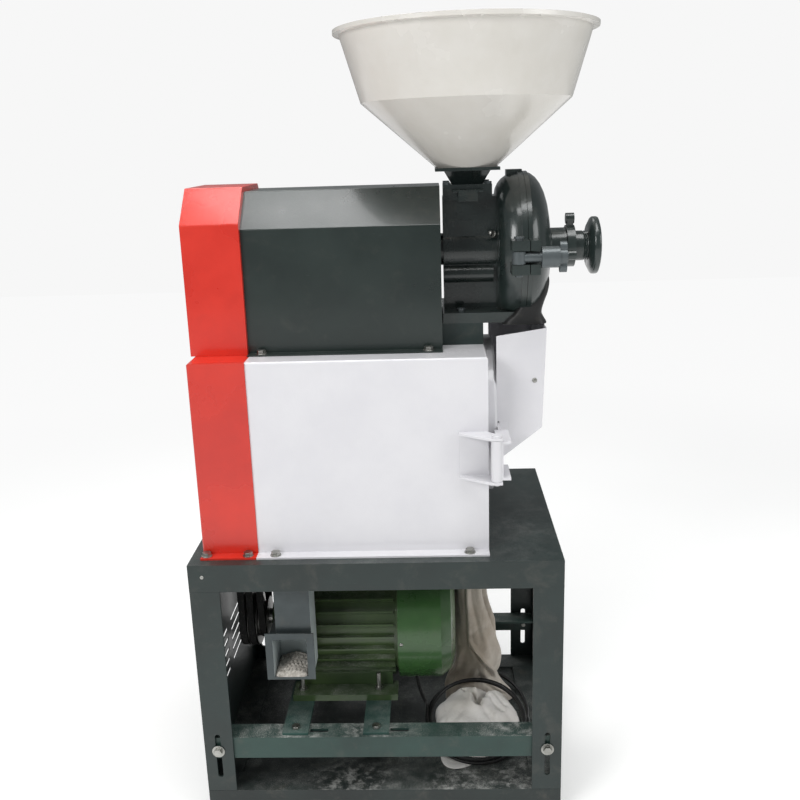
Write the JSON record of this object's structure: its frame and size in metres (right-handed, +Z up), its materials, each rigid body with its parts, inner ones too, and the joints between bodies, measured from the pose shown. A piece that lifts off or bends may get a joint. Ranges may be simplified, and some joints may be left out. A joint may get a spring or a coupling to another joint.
{
  "type": "grain grinder",
  "caption": "Disc mill on a sieve box and steel stand, with feed hopper, belt drive, motor below, sieve door and flour bag",
  "frame": {"origin": "centre of the stand's base, on the floor", "axes": "+X from the belts to the handwheel, +Y from the front with the bran spout to the back, +Z up"},
  "size_m": [0.692, 0.4548, 1.31],
  "materials": {
    "frame_paint": "semi-gloss dark grey-green enamel",
    "white_paint": "glossy white enamel",
    "red_paint": "glossy red enamel",
    "cream_paint": "glossy cream-white enamel",
    "spout_sheet": "light grey painted sheet",
    "cast_dark": "dark painted casting",
    "cast_plain": "machined grey iron",
    "motor_green": "green painted casting",
    "motor_sheet": "dark green painted sheet",
    "plain_steel": "bright turned steel",
    "zinc": "zinc-plated",
    "belt_rubber": "black rubber",
    "cord_black": "black sheath",
    "black_plastic": "black moulded plastic",
    "brush_wood": "wooden bars with bristles",
    "cloth": "off-white flour cloth"
  },
  "bodies": {
    "machine": {"table_top": "frame_paint", "leg_front_left": "frame_paint", "leg_front_right": "frame_paint", "leg_rear_left": "frame_paint", "leg_rear_right": "frame_paint", "bottom_frame": "frame_paint", "left_guard_panel": "frame_paint", "sieve_box": "white_paint", "sieve_floor": "white_paint", "sieve_screen": "plain_steel", "sieve_bearing_housing": "cast_plain", "belt_cover_lower": "red_paint", "belt_cover_upper": "red_paint", "spindle_cover": "frame_paint", "cover_bolts": "zinc", "bran_spout": "spout_sheet", "door_hinge_bracket": "white_paint", "spindle_stand": "frame_paint", "spindle_bearings": "cast_plain", "grinder_body": "cast_dark", "grinder_cover": "cast_dark", "discharge_skirt": "frame_paint", "grinder_fasteners": "zinc", "hopper": "cream_paint", "hopper_neck": "cast_dark", "cloth_sleeve": "cloth", "flour_bag": "cloth", "power_lead": "cord_black", "cable_coil": "cord_black", "mains_plug": "black_plastic", "spindle_belts": "belt_rubber", "sieve_belt": "belt_rubber"},
    "motor_carriage": {"motor_rails": "frame_paint", "motor_straps": "frame_paint", "carriage_bolts": "zinc", "motor_housing": "motor_green", "motor_end_shields": "motor_green", "fan_cover": "motor_sheet", "terminal_box": "motor_green", "cable_gland": "black_plastic"},
    "motor_rotor": {"motor_shaft": "plain_steel", "motor_fan": "black_plastic", "motor_pulley": "cast_plain"},
    "spindle": {"spindle": "plain_steel", "spindle_pulley": "cast_plain", "moving_disc": "cast_plain"},
    "sieve_rotor": {"sieve_shaft": "plain_steel", "sieve_brush": "brush_wood", "sieve_pulley": "cast_plain"},
    "sieve_door": {"sieve_door": "white_paint", "door_chute": "white_paint"},
    "plunger": {"plunger": "cast_plain", "fixed_disc": "cast_plain"},
    "handwheel": {"adjuster_stem": "cast_dark", "handwheel": "cast_dark"},
    "lock_ring": {"lock_ring": "cast_dark"},
    "swing_bolt": {"swing_bolt": "cast_dark"},
    "clamp_nut": {"clamp_nut": "cast_dark"},
    "feed_gate": {"feed_gate": "cast_dark"}
  },
  "joints": [
    {"name": "motor_tension", "type": "slide", "parent": "machine", "child": "motor_carriage", "axis": [0, 0, 1], "range_m": [-0.04, 0.027], "deforming": ["spindle_belts", "sieve_belt", "power_lead"]},
    {"name": "spindle_spin", "type": "hinge", "parent": "machine", "child": "spindle", "pos_m": [0, 0, 0.958], "axis": [1, 0, 0], "continuous": true},
    {"name": "motor_spin", "type": "hinge", "parent": "motor_carriage", "child": "motor_rotor", "pos_m": [-0.1, 0, 0.27], "axis": [1, 0, 0], "continuous": true},
    {"name": "sieve_spin", "type": "hinge", "parent": "machine", "child": "sieve_rotor", "pos_m": [-0.1, 0, 0.668], "axis": [1, 0, 0], "continuous": true},
    {"name": "fineness_slide", "type": "slide", "parent": "machine", "child": "plunger", "axis": [1, 0, 0], "range_m": [-0.00101, 0.00501]},
    {"name": "handwheel_turn", "type": "hinge", "parent": "plunger", "child": "handwheel", "pos_m": [0.33, 0, 0.958], "axis": [1, 0, 0], "range_deg": [-120, 600]},
    {"name": "lock_ring_turn", "type": "hinge", "parent": "machine", "child": "lock_ring", "pos_m": [0.3365, 0, 0.958], "axis": [1, 0, 0], "range_deg": [-20, 40]},
    {"name": "swing_bolt_hinge", "type": "hinge", "parent": "machine", "child": "swing_bolt", "pos_m": [0.238, -0.15, 0.958], "axis": [0, 0, 1], "range_deg": [-100, 0]},
    {"name": "clamp_nut_turn", "type": "hinge", "parent": "swing_bolt", "child": "clamp_nut", "pos_m": [0.29, -0.15, 0.958], "axis": [1, 0, 0], "continuous": true},
    {"name": "feed_gate_slide", "type": "slide", "parent": "machine", "child": "feed_gate", "axis": [0, -1, 0], "range_m": [0, 0.052]},
    {"name": "sieve_door_hinge", "type": "hinge", "parent": "machine", "child": "sieve_door", "pos_m": [0.199, -0.21, 0.649], "axis": [0, 0, 1], "range_deg": [-110, 0]}
  ],
  "couplings": [
    {"joint": "motor_spin", "follows": "spindle_spin", "ratio": 1.8},
    {"joint": "sieve_spin", "follows": "spindle_spin", "ratio": 0.63},
    {"joint": "fineness_slide", "follows": "handwheel_turn", "m_per_rad": 0.0004775}
  ]
}
